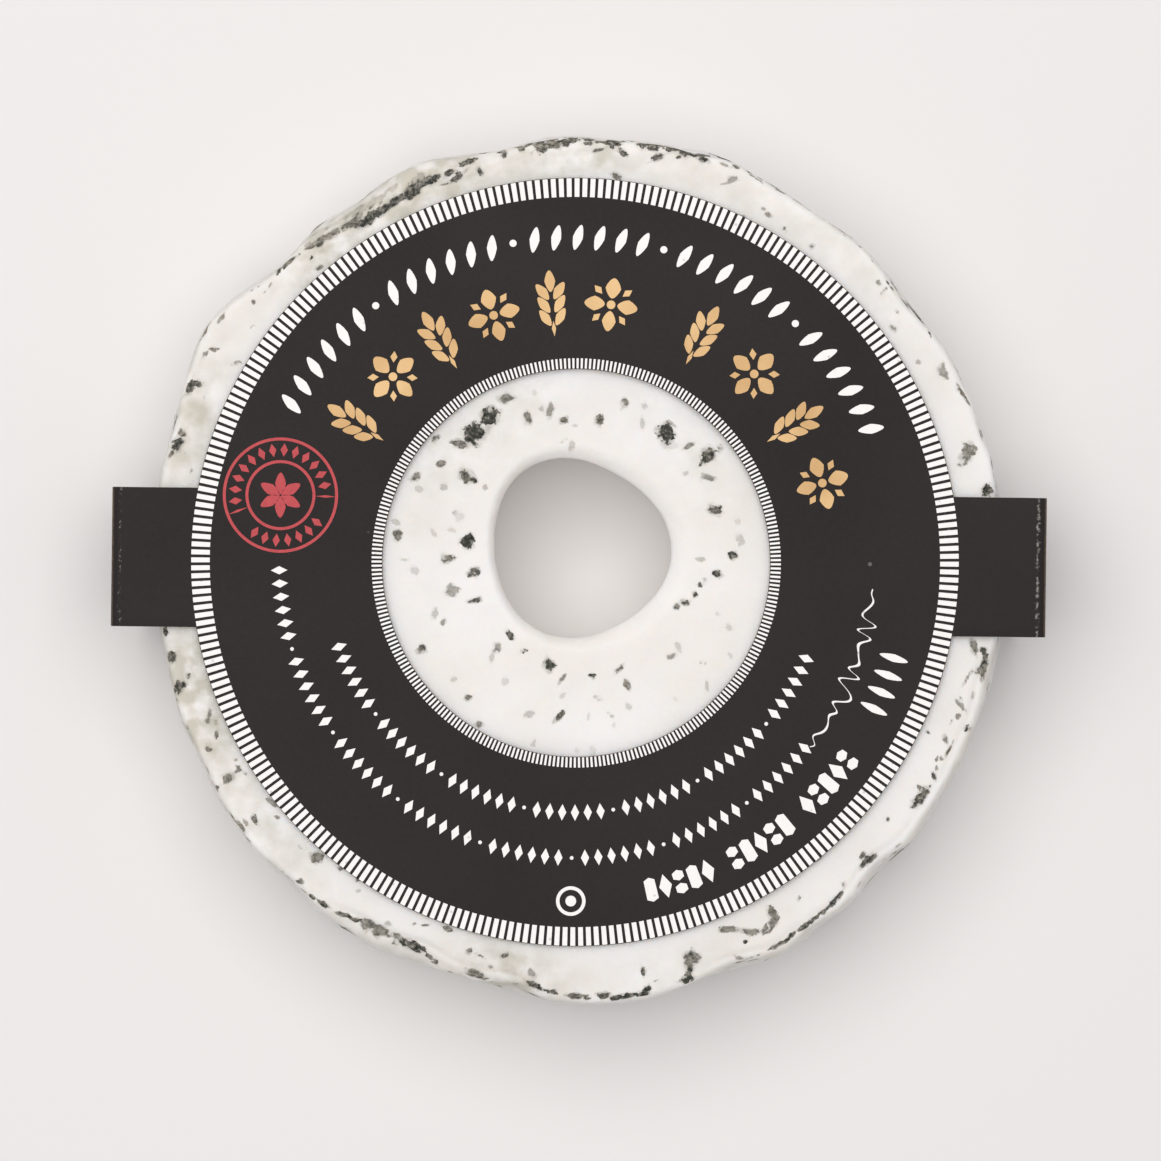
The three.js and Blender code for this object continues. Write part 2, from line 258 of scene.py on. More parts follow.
# Flecks of the brim: angle and radius, length, width, turn outwards from lying along the rim, and darkness
BRIM_FLECKS = (
    (11.0, 47.9, 1.4, 1.1, 20, 0.9), (16.9, 46.8, 2.2, 1.3, 45, 0.6), (28.3, 47.6, 1.5, 0.9, -20, 0.45),
    (29.3, 47.9, 1.2, 0.5, 40, 0.4), (31.5, 45.7, 0.7, 0.7, 0, 0.3), (39.2, 48.5, 1.5, 0.7, 10, 0.8),
    (41.9, 48.4, 0.5, 0.4, 0, 0.7), (43.0, 48.5, 0.6, 0.4, 0, 0.8), (42.6, 47.9, 0.4, 0.3, 0, 0.6),
    (39.0, 47.1, 0.8, 0.4, 10, 0.35), (42.3, 47.2, 1.4, 0.4, 80, 0.25), (18.6, 48.8, 1.2, 0.3, 0, 0.6),
    (24.6, 48.6, 2.0, 0.5, -8, 0.7), (33.9, 48.7, 0.9, 0.4, 30, 0.7), (58.9, 45.7, 0.6, 0.4, 30, 0.6),
    (61.9, 46.2, 1.0, 0.6, 30, 0.45), (63.0, 46.6, 0.5, 0.5, 0, 0.3), (68.4, 48.3, 1.1, 0.6, -30, 0.4),
    (69.2, 47.5, 1.4, 0.3, -35, 0.25), (70.3, 49.5, 1.2, 0.4, 10, 0.4), (79.2, 48.3, 1.3, 0.9, -20, 0.75),
    (80.6, 47.5, 0.3, 0.2, 0, 0.5), (76.5, 48.8, 0.5, 0.4, 0, 0.7), (84.0, 48.2, 1.2, 0.7, 25, 0.8),
    (86.3, 49.2, 0.9, 0.7, 0, 0.85), (87.4, 48.3, 1.3, 0.4, -15, 0.7), (93.8, 49.1, 1.3, 0.9, 0, 0.85),
    (95.0, 48.6, 1.2, 0.9, -20, 0.8), (100.2, 48.6, 0.9, 0.6, -40, 0.85), (104.0, 47.3, 1.4, 0.6, 75, 0.8),
    (105.3, 48.7, 1.9, 1.0, -10, 0.9), (107.2, 47.3, 2.4, 0.7, -22, 0.85), (108.0, 48.1, 1.8, 0.8, 0, 0.85),
    (109.2, 47.0, 1.3, 0.3, 0, 0.6), (112.7, 46.5, 0.3, 0.3, 0, 0.5), (126.5, 48.1, 3.0, 1.1, 5, 0.6),
    (130.6, 45.8, 0.9, 0.5, 10, 0.7), (137.3, 48.3, 0.6, 0.3, 0, 0.4), (138.6, 48.3, 0.7, 0.2, 20, 0.35),
    (148.2, 51.0, 2.0, 0.4, 0, 0.6), (148.9, 49.1, 0.9, 0.6, 60, 0.65), (150.0, 49.6, 1.1, 0.4, 15, 0.55),
    (154.9, 49.4, 2.1, 0.8, 5, 0.9), (154.0, 48.7, 1.3, 0.7, 60, 0.8), (155.2, 47.4, 0.4, 0.3, 0, 0.5),
    (149.0, 46.0, 1.1, 0.4, 40, 0.45), (162.4, 48.3, 1.6, 1.2, 20, 0.95), (164.1, 48.7, 1.3, 0.4, 30, 0.8),
    (163.6, 47.2, 0.3, 0.3, 0, 0.6), (165.6, 46.0, 0.7, 0.3, 0, 0.35), (167.3, 45.7, 0.6, 0.3, 60, 0.4),
    (188.5, 48.1, 1.0, 0.7, 20, 0.9), (192.1, 47.9, 1.2, 1.4, 0, 0.8), (196.3, 48.0, 1.9, 1.1, 60, 0.9),
    (197.3, 48.8, 1.2, 0.5, 20, 0.8), (201.3, 45.6, 0.9, 0.5, 20, 0.55), (202.1, 46.1, 0.7, 0.6, 60, 0.6),
    (202.7, 45.3, 0.6, 0.4, 80, 0.6), (208.3, 48.6, 0.9, 0.5, 0, 0.55), (211.2, 48.7, 1.5, 0.5, 70, 0.7),
    (210.8, 46.9, 1.5, 1.1, 60, 0.65), (210.4, 45.4, 1.0, 0.5, 75, 0.6), (209.0, 45.1, 0.8, 0.3, 50, 0.35),
    (215.4, 48.9, 1.4, 0.4, -5, 0.6), (217.3, 48.8, 1.5, 0.6, 10, 0.6), (217.2, 48.1, 0.9, 0.5, 0, 0.35),
    (217.6, 47.0, 1.4, 0.8, 10, 0.7), (217.1, 44.3, 1.5, 0.5, -10, 0.45), (224.8, 45.2, 0.7, 0.3, 0, 0.2),
    (227.6, 44.7, 1.4, 1.4, 0, 0.6), (227.9, 48.3, 0.8, 0.4, -50, 0.85), (232.7, 48.3, 1.2, 0.5, 5, 0.85),
    (235.4, 44.8, 0.9, 0.4, -60, 0.2), (239.4, 47.3, 1.4, 0.8, 0, 0.75), (241.2, 47.2, 2.2, 0.9, 10, 0.6),
    (241.7, 46.2, 1.0, 0.6, 0, 0.25), (246.4, 47.5, 1.9, 0.9, 5, 0.95), (249.4, 48.2, 1.5, 0.4, 15, 0.55),
    (246.5, 44.5, 0.9, 0.3, -25, 0.6), (250.0, 43.9, 1.2, 0.6, 0, 0.7), (255.4, 47.9, 2.1, 0.8, 12, 0.75),
    (255.7, 45.8, 1.1, 0.3, 15, 0.55), (257.5, 46.8, 0.9, 0.4, 40, 0.5), (261.0, 48.4, 1.0, 0.3, 15, 0.6),
    (264.0, 48.1, 2.9, 0.8, 20, 0.9), (263.3, 46.7, 1.2, 0.8, 40, 0.4), (266.6, 48.7, 1.1, 0.4, 15, 0.8),
    (269.4, 49.0, 1.9, 0.6, 10, 0.85), (273.2, 49.0, 1.6, 0.8, 0, 0.85), (279.3, 48.8, 1.0, 0.7, -40, 1.0),
    (280.6, 48.1, 0.6, 0.3, 0, 0.6), (284.8, 48.7, 1.6, 0.9, -10, 1.0), (285.4, 47.7, 1.4, 0.8, -70, 0.85),
    (286.0, 46.5, 1.5, 1.9, 0, 0.7), (286.6, 49.2, 1.6, 0.35, 5, 0.85), (292.3, 48.2, 1.1, 0.5, 40, 0.5),
    (294.0, 46.8, 0.6, 0.5, 0, 0.85), (292.7, 44.7, 2.6, 0.7, 25, 0.65), (295.3, 46.0, 2.0, 0.7, 25, 0.6),
    (297.9, 46.9, 0.9, 0.4, -20, 0.8), (299.0, 46.2, 1.5, 1.0, -30, 0.65), (299.5, 45.2, 0.9, 1.5, 10, 0.7),
    (308.5, 47.9, 1.9, 0.6, -5, 0.95), (314.6, 47.1, 2.2, 0.8, 0, 0.85), (314.8, 46.3, 0.9, 0.7, 0, 0.8),
    (326.5, 47.2, 2.6, 1.2, 0, 0.85), (334.0, 47.3, 2.2, 0.4, 5, 0.7), (335.2, 46.4, 1.1, 0.5, -50, 0.6),
    (332.5, 46.9, 0.9, 0.4, 40, 0.45), (340.6, 46.4, 1.8, 0.5, -60, 0.45), (342.3, 47.5, 0.8, 0.5, 0, 0.25),
    (344.4, 46.3, 2.2, 0.35, 15, 0.4), (347.2, 47.8, 2.9, 0.6, 0, 0.85), (348.8, 47.4, 1.0, 0.7, -50, 0.9),
    (349.0, 46.2, 2.0, 0.8, -30, 0.65), (345.8, 47.2, 1.0, 0.5, 50, 0.5),
)
# Bands of ash chips along the rim: start and end angle, radius there, the radius's spread, a chip's size,
# chips for each degree, and the least and greatest darkness
ASH_BANDS = (
    (12, 60, 49.3, 49.4, 0.15, 0.5, 0.6, 0.5, 0.9), (60, 72, 49.4, 50.2, 0.15, 0.6, 2.0, 0.6, 1.0),
    (73, 77, 49.7, 49.6, 0.25, 1.1, 3.0, 0.9, 1.0), (76, 96, 49.6, 49.5, 0.2, 0.8, 2.6, 0.8, 1.0),
    (88, 96, 49.2, 48.9, 0.3, 0.8, 1.5, 0.6, 0.9), (96, 101, 49.3, 49.2, 0.25, 0.8, 2.6, 0.7, 1.0),
    (109, 114, 48.2, 47.6, 0.13, 0.9, 3.0, 0.8, 1.0), (113, 122, 47.4, 47.1, 0.1, 0.9, 4.0, 0.9, 1.0),
    (111, 122, 48.0, 47.7, 0.22, 0.5, 2.0, 0.4, 0.8), (120, 123, 47.0, 47.3, 0.22, 1.0, 2.8, 0.8, 1.0),
    (122, 130.5, 47.8, 48.3, 0.14, 0.75, 2.8, 0.6, 0.95), (131, 136.5, 48.3, 49.0, 0.07, 0.55, 4.0, 0.6, 0.9),
    (110, 121, 48.8, 48.4, 0.3, 1.0, 0.8, 0.1, 0.25), (120, 130, 48.8, 48.9, 0.2, 1.1, 1.1, 0.15, 0.4),
    (136, 146, 49.2, 50.3, 0.3, 0.5, 0.5, 0.3, 0.6), (146, 150, 51.0, 51.0, 0.12, 0.5, 2.0, 0.5, 0.8),
    (191, 206, 48.9, 49.0, 0.1, 0.7, 1.6, 0.6, 0.9), (206, 224, 49.0, 49.2, 0.2, 0.6, 0.8, 0.4, 0.8),
    (224, 229, 49.0, 49.0, 0.06, 0.5, 3.0, 0.7, 0.9), (229, 234, 48.8, 48.2, 0.05, 0.5, 3.0, 0.7, 1.0),
    (235, 238, 48.2, 47.7, 0.08, 0.6, 3.0, 0.6, 0.9), (238, 244, 47.4, 47.3, 0.2, 0.8, 1.6, 0.4, 0.7),
    (244, 248, 47.3, 47.2, 0.1, 0.9, 3.0, 0.8, 1.0), (248, 250.5, 47.6, 48.3, 0.1, 0.6, 2.0, 0.6, 0.9),
    (250, 262, 48.3, 48.6, 0.25, 0.6, 0.7, 0.3, 0.7), (265, 272, 48.6, 49.1, 0.15, 0.6, 1.6, 0.6, 0.9),
    (274.5, 279.6, 49.4, 49.3, 0.06, 0.65, 4.0, 0.9, 1.0), (283, 288, 49.4, 49.2, 0.12, 0.5, 1.6, 0.6, 0.9),
    (290, 300, 49.0, 48.8, 0.07, 0.5, 2.2, 0.5, 0.95), (300, 309, 48.7, 48.0, 0.05, 0.6, 4.0, 0.8, 1.0),
    (310, 345, 48.8, 48.7, 0.3, 0.6, 0.3, 0.15, 0.4), (345, 349, 47.9, 47.9, 0.12, 0.7, 2.0, 0.7, 0.9),
)
# Soft grey-beige patches of the window's cheese, most of them near the label's inner edge: x and y,
# half-width, and strength
WINDOW_GREY_PATCHES = (
    (-12.5, 15.0, 4.5, 0.45), (-17.0, 11.5, 3.5, 0.35), (-20.0, 5.0, 2.5, 0.25), (-6.0, 19.5, 4.0, 0.35),
    (13.5, 13.5, 3.5, 0.35), (17.5, 8.0, 3.0, 0.25), (-15.5, -2.0, 2.5, 0.15), (8.0, 18.5, 3.5, 0.2),
)
# Painted shade of the brim, greying it round these angles: angle, half-width in degrees, and strength
RIM_PAINTED_SHADE = (
    (45, 14, 0.3), (70, 14, 0.4), (91, 8, 1.0), (113, 11, 1.25), (129, 8, 1.2),
    (159, 11, 1.05), (197, 9, 1.9), (217, 14, 0.7), (260, 8, 1.15), (283, 8, 0.35),
)
# Painted shade, greying the folded skin outside each crease
FOLD_PAINTED_SHADE = 0.5  # of the folded skin outside a crease
SEED = 7
# How many flecks are strewn with the seed, by where they lie
SIDE_FLECKS = 210
FOOT_FLECKS = 60
BRIM_SPECKS = 60
FAINT_FLECKS = 60  # in the window


class AshMap:
    """Where ash lies and how dark it is: placed flecks, bands of chips, and seeded strays."""

    CELL = 2.0  # millimetres, of the grid in which chips are looked up
    FACETS = 6
    DEPTH = 0.8  # how far a chip reaches out of its own plane, so that it doesn't run down past an edge

    def __init__(self):
        self.cells = {}
        self.draw = random.Random(SEED)
        for x, y, long, wide, turn, dark in WINDOW_FLECKS:
            self.add_level((x, y), WHEEL_HEIGHT, long, wide, turn, dark)
        for angle, radius, *form in BRIM_FLECKS:
            self.add_on_rim(angle, radius, *form)
        for band in ASH_BANDS:
            self.add_band(*band)
        self.add_strays()

    def add(self, centre, first, second, long, wide, turn, dark):
        """Adds an angular chip of ash, long and wide as given."""
        first, second = Vector(first), Vector(second)
        turned = math.radians(turn)
        lengthways = (first * math.cos(turned) + second * math.sin(turned)) / (long / 2)
        crossways = (second * math.cos(turned) - first * math.sin(turned)) / (wide / 2)
        start = self.draw.uniform(0, 360)
        facets = []
        for i in range(self.FACETS):
            facing = start + 360 * (i + self.draw.uniform(-0.3, 0.3)) / self.FACETS
            x, y = polar(facing, self.draw.uniform(0.85, 1.3))
            facets.append(lengthways * x + crossways * y)
        outwards = first.cross(second) / max(self.DEPTH, wide)
        facets += [outwards, -outwards]
        reach = max(long, wide)
        low = [math.floor((c - reach) / self.CELL) for c in centre]
        high = [math.floor((c + reach) / self.CELL) for c in centre]
        for i in range(low[0], high[0] + 1):
            for j in range(low[1], high[1] + 1):
                for k in range(low[2], high[2] + 1):
                    self.cells.setdefault((i, j, k), []).append((centre, facets, dark))

    def add_level(self, spot, height, *form):
        """Adds a chip that lies level."""
        self.add(Vector((*spot, height)), (1, 0, 0), (0, 1, 0), *form)

    def add_on_rim(self, angle, radius, long, wide, turn, dark):
        """Adds a chip that lies along the rim and follows its slope."""
        slope = (near_shoulder(angle, radius + 0.2) - near_shoulder(angle, radius - 0.2)).normalized()
        self.add(near_shoulder(angle, radius), (*polar(angle + 90, 1), 0), slope, long, wide, turn, dark)

    def add_band(self, start, end, first_radius, last_radius, spread, size, density, least, most):
        """Chips strewn along the rim, drawn out along it."""
        draw = self.draw
        for _ in range(round((end - start) * density)):
            t = draw.random()
            long = size * draw.uniform(0.7, 1.7)
            radius = draw.gauss(mix(first_radius, last_radius, t), spread)
            wide = long * draw.uniform(0.35, 0.8)
            turn = draw.gauss(0, 25)
            self.add_on_rim(mix(start, end, t), radius, long, wide, turn, draw.uniform(least, most))

    def add_strays(self):
        """Seeded flecks of the side and the foot, faint ones in the window, and specks on the brim."""
        draw = self.draw
        for _ in range(SIDE_FLECKS):
            angle = draw.uniform(0, 360)
            height = draw.uniform(1.5, WHEEL_HEIGHT - 2.5)
            centre = Vector((*polar(angle, side_radius(angle, height)), height))
            size = draw.choice((0.7, 0.9, 1.2, 1.6, 2.3))
            self.add(centre, (*polar(angle + 90, 1), 0), (0, 0, 1), size * draw.uniform(1, 1.8), size,
                     draw.uniform(-40, 40), draw.uniform(0.5, 1.0))
        for _ in range(FOOT_FLECKS):
            spot = polar(draw.uniform(0, 360), draw.uniform(14, 45))
            size = draw.choice((0.8, 1.2, 1.8))
            self.add_level(spot, 0, size * draw.uniform(1, 1.6), size,
                           draw.uniform(0, 180), draw.uniform(0.45, 0.95))
        for _ in range(FAINT_FLECKS):
            spot = polar(draw.uniform(0, 360), draw.uniform(14, 22))
            self.add_level(spot, WHEEL_HEIGHT - 0.3, draw.uniform(0.5, 1.4), draw.uniform(0.3, 0.8),
                           draw.uniform(0, 180), draw.uniform(0.06, 0.22))
        for _ in range(BRIM_SPECKS):
            spot = polar(draw.uniform(0, 360), draw.triangular(40, 49, 48))
            size = draw.choice((0.35, 0.45, 0.6))
            self.add_level(spot, WHEEL_HEIGHT - 0.4, size * draw.uniform(1, 2.2), size,
                           draw.uniform(0, 180), draw.uniform(0.4, 0.9))

    def at(self, place):
        """A value that is 1 amid ash, 0.5 at its edge and 0 well outside it, and the ash's darkness."""
        best = (0.0, 0.0)
        key = tuple(math.floor(c / self.CELL) for c in place)
        for centre, facets, dark in self.cells.get(key, ()):
            away = place - centre
            best = max(best, (1 - max(away.dot(facet) for facet in facets) / 2, dark))
        return best


def patches_and_shade_at(place, angle, offset):
    """How much grey the rind takes: patches in the window, and painted shade on the brim and on the folded
    skin outside a crease, fading down the side.
    """
    spots = sum(strength * hill(math.hypot(place.x - x, place.y - y), half)
                for x, y, half, strength in WINDOW_GREY_PATCHES)
    # painted shade of the brim
    rim = sum(strength * hill(apart(angle, at), half) for at, half, strength in RIM_PAINTED_SHADE)
    # painted shade of the folded skin outside a crease
    folds = sum(along(crease, angle) for crease in CREASES) * smooth(offset, 0, 0.8)
    return (spots + rim * smooth(offset, -6, -2) + FOLD_PAINTED_SHADE * folds) * smooth(place.z, 8, 18.5)


# Small relief of the rind: size, and waves for each millimetre. The side is rougher than the pressed top
RELIEF = ((0.1, 0.16), (0.05, 0.42), (0.025, 1.1))
SIDE_RELIEF = ((0.2, 0.25), (0.12, 0.7))
PIT = 0.07  # how far ash lies below the skin
FLAT_FOOT = 0.2  # what lies lower keeps to the table, without relief


def relief(place, ash, outside):
    """How far the velvety skin stands out of the plain form."""
    rough = sum(size * noise.noise(place * waves) for size, waves in RELIEF)
    if outside > 0:
        rough += outside * sum(size * noise.noise(place * waves) for size, waves in SIDE_RELIEF)
    return rough - PIT * max(0.0, ash)


def ring_mesh(name, rows):
    """A mesh from rows of points, each joined to the next and the last to the first."""
    count = len(rows[0])
    verts = [Vector(p) * MM for row in rows for p in row]
    faces = []
    for i in range(len(rows)):
        here, after = i * count, (i + 1) % len(rows) * count
        for j in range(count):
            k = (j + 1) % count
            faces.append((here + j, after + j, after + k, here + k))
    mesh = bpy.data.meshes.new(name)
    mesh.from_pydata(verts, [], faces)
    mesh.shade_smooth()
    return mesh


def make_rind():
    """The whole cheese as one closed skin, with its ash, its grey patches and its painted shade as values on
    each point.
    """
    ash_map = AshMap()
    rows, looks, offsets = [], [], []
    for i in range(CUTS):
        angle = 360 * i / CUTS
        shoulder = shoulder_radius(angle)
        row = []
        for radius, height in cut(angle):
            share = 1 - smooth(radius, HOLE_RADIUS + LIP_WIDTH, MIDDLE_START)
            x, y = polar(angle, radius)
            place = Vector((x + HOLE_OFFSET[0] * share, y + HOLE_OFFSET[1] * share, height))
            row.append(place)
            ash, soot = ash_map.at(place)
            looks.append((ash, soot, patches_and_shade_at(place, angle, radius - shoulder)))
            offsets.append(relief(place, ash, smooth(radius - shoulder, 0, 1)))
        rows.append(row)
    mesh = ring_mesh("goat_cheese_rind", rows)
    normals = np.empty(len(mesh.vertices) * 3, dtype=np.float32)
    mesh.vertex_normals.foreach_get("vector", normals)
    places = np.empty_like(normals)
    mesh.vertices.foreach_get("co", places)
    places = places.reshape(-1, 3)
    on_table = places[:, 2] < FLAT_FOOT * MM
    out = np.array(offsets, dtype=np.float32) * MM
    out[on_table] = 0
    places += normals.reshape(-1, 3) * out[:, None]
    mesh.vertices.foreach_set("co", places.ravel())
    for name, values in zip(("ash", "soot", "patches_and_shade"), zip(*looks)):
        mesh.attributes.new(name, "FLOAT", "POINT").data.foreach_set("value", values)
    mesh.update()
    rind = bpy.data.objects.new("goat_cheese_rind", mesh)
    bpy.context.collection.objects.link(rind)
    return rind


# The card label

LABEL_TOP = WHEEL_HEIGHT + CARD_GAP + CARD
CARD_WAVE = 0.12  # how far the card lifts where it is wavy
WAVES_PER_MM = 0.035
RING_STEPS = 26
RING_SIDES = 240
STRAP_COLUMNS = 16
FLAT_STEPS = 12
FOLD_STEPS = 12
FLAP_STEPS = 14
CORNER_STEPS = 6
CARD_BEVEL = 0.06
BEVELLED_OVER = 50  # degrees between faces
SCUFFING = {"left": 1.0, "right": 1.15}  # how worn each fold is
SCUFF_WIDTH = 0.6


def card_lift(x, y):
    """The card isn't quite flat: it lifts a little, but never dips."""
    return CARD_WAVE * smooth(noise.noise(Vector((x * WAVES_PER_MM, y * WAVES_PER_MM, 3.7))), -0.4, 0.6)


def to_wheel(x, y, z):
    """From the label's own frame to the wheel's."""
    turn = math.radians(LABEL_TURN)
    across = x * math.cos(turn) - y * math.sin(turn)
    along_y = x * math.sin(turn) + y * math.cos(turn)
    return Vector((LABEL_CENTRE[0] + across, LABEL_CENTRE[1] + along_y, z))


def on_card(x, y, above=0.0):
    return to_wheel(x, y, LABEL_TOP + card_lift(x, y) + above)


def even(low, high, steps):
    return [mix(low, high, i / steps) for i in range(steps + 1)]


def ring_spokes():
    """The angles of the ring's spokes: those at the right strap, the top, the left strap and the bottom."""
    half = STRAP_WIDTH / 2
    meets = math.degrees(math.asin(half / LABEL_RADIUS))
    right = [math.degrees(math.asin(y / LABEL_RADIUS)) for y in even(-half, half, STRAP_COLUMNS)]
    left = [180 - angle for angle in reversed(right)]
    free = (RING_SIDES - 2 * STRAP_COLUMNS) // 2
    return right, even(meets, 180 - meets, free)[1:-1], left, even(180 + meets, 360 - meets, free)[1:-1]


def strap_rows(side, sign):
    """Rows of points across a strap, from the ring outwards, with how scuffed and how bared the card is."""
    half = STRAP_WIDTH / 2
    flat_end = STRAP_REACH[side] - FOLD_RADIUS
    lean = math.radians(FLAP_LEAN)
    bend_all = math.pi / 2 + lean
    columns = [sign * y for y in even(-half, half, STRAP_COLUMNS)]
    for t in even(0, 1, FLAT_STEPS)[1:]:
        xs = [mix(math.sqrt(LABEL_RADIUS ** 2 - y ** 2), flat_end, t) for y in columns]
        yield [(on_card(sign * x, y), SCUFFING[side] * hill(flat_end - x, SCUFF_WIDTH), 0)
               for x, y in zip(xs, columns)]
    for bend in even(0, bend_all, FOLD_STEPS)[1:]:
        x = flat_end + FOLD_RADIUS * math.sin(bend)
        drop = FOLD_RADIUS * (1 - math.cos(bend))
        scuffed, bared = SCUFFING[side] * hill(x - flat_end, SCUFF_WIDTH), smooth(bend, 0.55, 1.0)
        yield [(to_wheel(sign * x, y, LABEL_TOP + card_lift(sign * flat_end, y) - drop), scuffed, bared)
               for y in columns]
    fold_x, fold_drop = x, drop
    length = FLAP_LENGTH - FOLD_RADIUS
    corner_start = length - FLAP_CORNER
    runs = even(0, corner_start, FLAP_STEPS)[1:]
    runs += [corner_start + FLAP_CORNER * math.sin(t) for t in even(0, math.pi / 2, CORNER_STEPS)[1:]]
    for down in runs:
        into_corner = max(0.0, down - corner_start)
        narrower = FLAP_CORNER - math.sqrt(max(0.0, FLAP_CORNER ** 2 - into_corner ** 2))
        x = fold_x - down * math.sin(lean)
        drop = fold_drop + down * math.cos(lean)
        lift_left = 1 - down / length
        yield [(to_wheel(sign * x, y * (half - narrower) / half,
                         LABEL_TOP + card_lift(sign * flat_end, y) * lift_left - drop), 0, hill(down, 0.8))
               for y in columns]


def make_label():
    """The card: a ring with its window, and at each side a strap that folds down into a flap."""
    card = bmesh.new()
    scuffed, bared = (card.verts.layers.float.new(name) for name in ("scuffed", "bared"))
    right, top, left, bottom = ring_spokes()
    spokes = []
    for angle in right + top + left + bottom:
        outer = polar(angle, LABEL_RADIUS)
        inner = [c + p for c, p in zip(WINDOW_OFFSET, polar(angle, WINDOW_RADIUS))]
        spokes.append([card.verts.new(on_card(mix(inner[0], outer[0], t), mix(inner[1], outer[1], t)))
                       for t in even(0, 1, RING_STEPS)])
    for here, after in zip(spokes, spokes[1:] + spokes[:1]):
        for i in range(RING_STEPS):
            card.faces.new((here[i], here[i + 1], after[i + 1], after[i]))
    left_start = len(right) + len(top)
    for side, sign, first in (("right", 1, 0), ("left", -1, left_start)):
        last_row = [spoke[-1] for spoke in spokes[first:first + STRAP_COLUMNS + 1]]
        for points in strap_rows(side, sign):
            row = []
            for place, scuff, bare in points:
                row.append(card.verts.new(place))
                row[-1][scuffed], row[-1][bared] = scuff, bare
            for i in range(STRAP_COLUMNS):
                card.faces.new((last_row[i], row[i], row[i + 1], last_row[i + 1]))
            last_row = row
    bmesh.ops.scale(card, vec=(MM, MM, MM), verts=card.verts)
    sheet = new_piece("label_card", card)
    sheet.data.materials.append(card_face())
    sheet.data.materials.append(card_raw_edge())
    solid = sheet.modifiers.new("thickness", "SOLIDIFY")
    solid.thickness = CARD * MM
    solid.offset = -1
    solid.use_even_offset = True
    solid.material_offset_rim = 1
    edge = sheet.modifiers.new("edge", "BEVEL")
    edge.width = CARD_BEVEL * MM
    edge.segments = 2
    edge.limit_method = "ANGLE"
    edge.angle_limit = math.radians(BEVELLED_OVER)
    settle_modifiers(sheet)
    sheet.data.shade_smooth()
    return sheet


def new_piece(name, made):
    """A shown object from a bmesh, which is freed."""
    mesh = bpy.data.meshes.new(name)
    made.to_mesh(mesh)
    made.free()
    piece = bpy.data.objects.new(name, mesh)
    bpy.context.collection.objects.link(piece)
    return piece


def settle_modifiers(piece):
    """Puts what the modifiers make into the mesh itself."""
    graph = bpy.context.evaluated_depsgraph_get()
    finished = bpy.data.meshes.new_from_object(piece.evaluated_get(graph))
    piece.modifiers.clear()
    piece.data = finished


# The label's print, as thin plates of ink. A shape is an outline, anticlockwise, as points across and up

INK = 0.02
FOIL = 0.04
TICKS = 300
OUTER_TICKS = (41.9, 44.03, 0.62)  # start and end from the label's middle, and the white share of each step
INNER_TICKS = (22.31, 23.48, 0.5)
# How far the middle of each row of print is from the label's middle
LEAF_ROW = 37.25
LOZENGE_ROWS = (28.75, 33.95)
TILE_ROW = 38.6
SLIM_ROW = 38.2
GOLD_ROW = 29.8
MARK_ROW = 38.9
SEAL_AT = (167.9, 34.65)  # angle and radius
SEAL_BEADS = 5.2  # from the seal's own middle
SEAL_CIRCLES = (6.45, 3.85)


def leaf(length, width, steps=8):
    """A pointed leaf that stands upright."""
    rise = [math.pi * i / steps for i in range(steps + 1)]
    right = [(width / 2 * math.sin(t), -length / 2 * math.cos(t)) for t in rise]
    left = [(-x, y) for x, y in reversed(right[1:-1])]
    return [(x * (1 - 0.35 * abs(y / length * 2)), y) for x, y in right + left]


def disc(radius, steps=20):
    return [polar(360 * i / steps, radius) for i in range(steps)]


def lozenge(length, width):
    return [(0, -length / 2), (width / 2, 0), (0, length / 2), (-width / 2, 0)]


def block(length, width, point=0.3):
    """A tall block with a low point at each end."""
    x, y = width / 2, length / 2
    return [(0, -y), (x, point - y), (x, y - point), (0, y), (-x, y - point), (-x, point - y)]


def placed(shape, across=0.0, up=0.0, turn=0.0):
    c, s = math.cos(math.radians(turn)), math.sin(math.radians(turn))
    return [(across + x * c - y * s, up + x * s + y * c) for x, y in shape]


def wrapped(shape, angle, radius):
    """A shape bent round the label, upright at the label's top."""
    return [polar(angle - math.degrees(x / radius), radius + y) for x, y in shape]


def ink_piece(name, outlines, thick, material, bands=()):
    """Thin plates on the card: one for each outline, and one for each band between two outlines."""
    ink = bmesh.new()

    def walls(points, outside):
        tops = [ink.verts.new(on_card(x, y, thick)) for x, y in points]
        feet = [ink.verts.new(on_card(x, y, -INK)) for x, y in points]
        count = len(points)
        for i in range(count):
            j = (i + 1) % count
            corners = (feet[i], feet[j], tops[j], tops[i])
            ink.faces.new(corners if outside else corners[::-1])
        return tops, feet

    for outline in outlines:
        tops, feet = walls(outline, True)
        ink.faces.new(tops)
        ink.faces.new(feet[::-1])
    for outer, inner in bands:
        outer_tops, outer_feet = walls(outer, True)
        inner_tops, inner_feet = walls(inner, False)
        count = len(outer)
        for i in range(count):
            j = (i + 1) % count
            ink.faces.new((outer_tops[i], outer_tops[j], inner_tops[j], inner_tops[i]))
            ink.faces.new((outer_feet[j], outer_feet[i], inner_feet[i], inner_feet[j]))
    bmesh.ops.scale(ink, vec=(MM, MM, MM), verts=ink.verts)
    piece = new_piece(name, ink)
    piece.data.materials.append(material)
    return piece


def tick_outlines():
    """The two rings of short strokes, at the label's edge and round its window."""
    outlines = []
    for (start, end, share), centre in ((OUTER_TICKS, (0, 0)), (INNER_TICKS, WINDOW_OFFSET)):
        step = 360 / TICKS
        for i in range(TICKS):
            low, high = i * step, (i + share) * step
            corners = (polar(low, start), polar(low, end), polar(high, end), polar(high, start))
            outlines.append([(x + centre[0], y + centre[1]) for x, y in corners])
    return outlines


